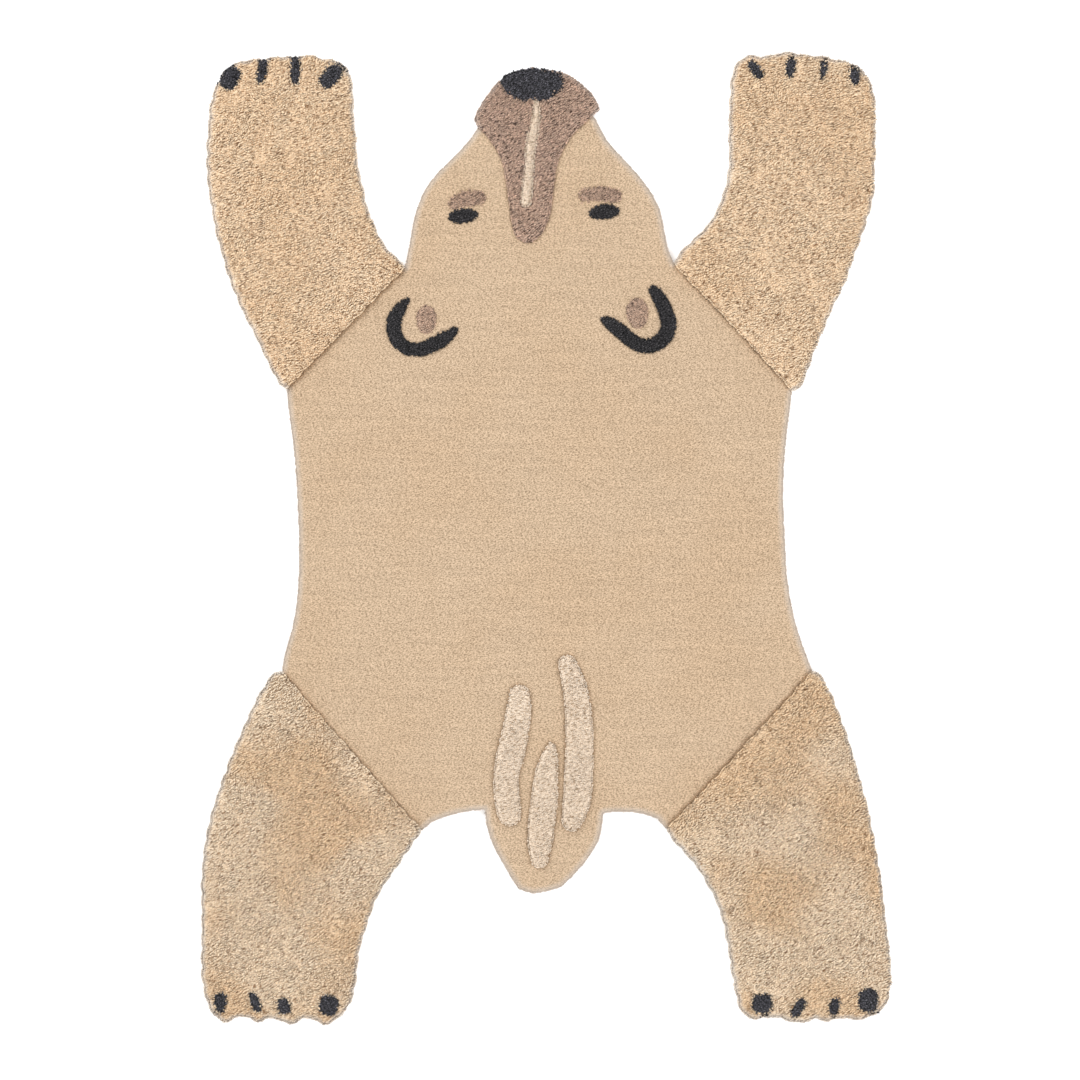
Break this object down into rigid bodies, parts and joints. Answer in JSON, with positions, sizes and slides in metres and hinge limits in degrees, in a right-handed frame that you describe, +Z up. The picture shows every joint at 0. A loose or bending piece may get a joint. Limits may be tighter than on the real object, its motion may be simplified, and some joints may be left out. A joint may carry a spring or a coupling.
{
  "type": "animal shaped kids rug",
  "caption": "Flat tufted rug in the outline of a spread bear hide, low pile on head and back, high pile on the legs, with inlaid face, ears, claws and tail strokes.",
  "frame": {"origin": "on the floor under the middle of the rug's bounding box", "axes": "+Y towards the nose, along the hide; +X to the right as seen from above with the nose away; +Z up, out of the pile"},
  "size_m": [1.1361, 1.6033, 0.028],
  "materials": {
    "low_pile_sand": "dense, low, evenly sheared cut wool pile, matt, faint lines of tufting rows",
    "high_pile_sand": "high, loose cut wool pile in wavy rows of locks, matt",
    "pile_taupe": "dense cut wool pile, matt",
    "pile_charcoal": "dense cut wool pile, matt",
    "pile_cream": "dense, raised cut wool pile, matt"
  },
  "bodies": {
    "root": {"rug_ground": "low_pile_sand", "front_leg_left": "high_pile_sand", "front_leg_right": "high_pile_sand", "hind_leg_left": "high_pile_sand", "hind_leg_right": "high_pile_sand", "claw_front_left_1": "pile_charcoal", "claw_front_left_2": "pile_charcoal", "claw_front_left_3": "pile_charcoal", "claw_front_left_4": "pile_charcoal", "claw_front_right_1": "pile_charcoal", "claw_front_right_2": "pile_charcoal", "claw_front_right_3": "pile_charcoal", "claw_front_right_4": "pile_charcoal", "claw_hind_left_1": "pile_charcoal", "claw_hind_left_2": "pile_charcoal", "claw_hind_left_3": "pile_charcoal", "claw_hind_left_4": "pile_charcoal", "claw_hind_right_1": "pile_charcoal", "claw_hind_right_2": "pile_charcoal", "claw_hind_right_3": "pile_charcoal", "claw_hind_right_4": "pile_charcoal", "muzzle": "pile_taupe", "nose": "pile_charcoal", "nose_stripe": "pile_cream", "brow_left": "pile_taupe", "brow_right": "pile_taupe", "eye_left": "pile_charcoal", "eye_right": "pile_charcoal", "ear_left": "pile_charcoal", "ear_right": "pile_charcoal", "inner_ear_left": "pile_taupe", "inner_ear_right": "pile_taupe", "tail_stroke_left": "pile_cream", "tail_stroke_middle": "pile_cream", "tail_stroke_right": "pile_cream"}
  },
  "joints": []
}
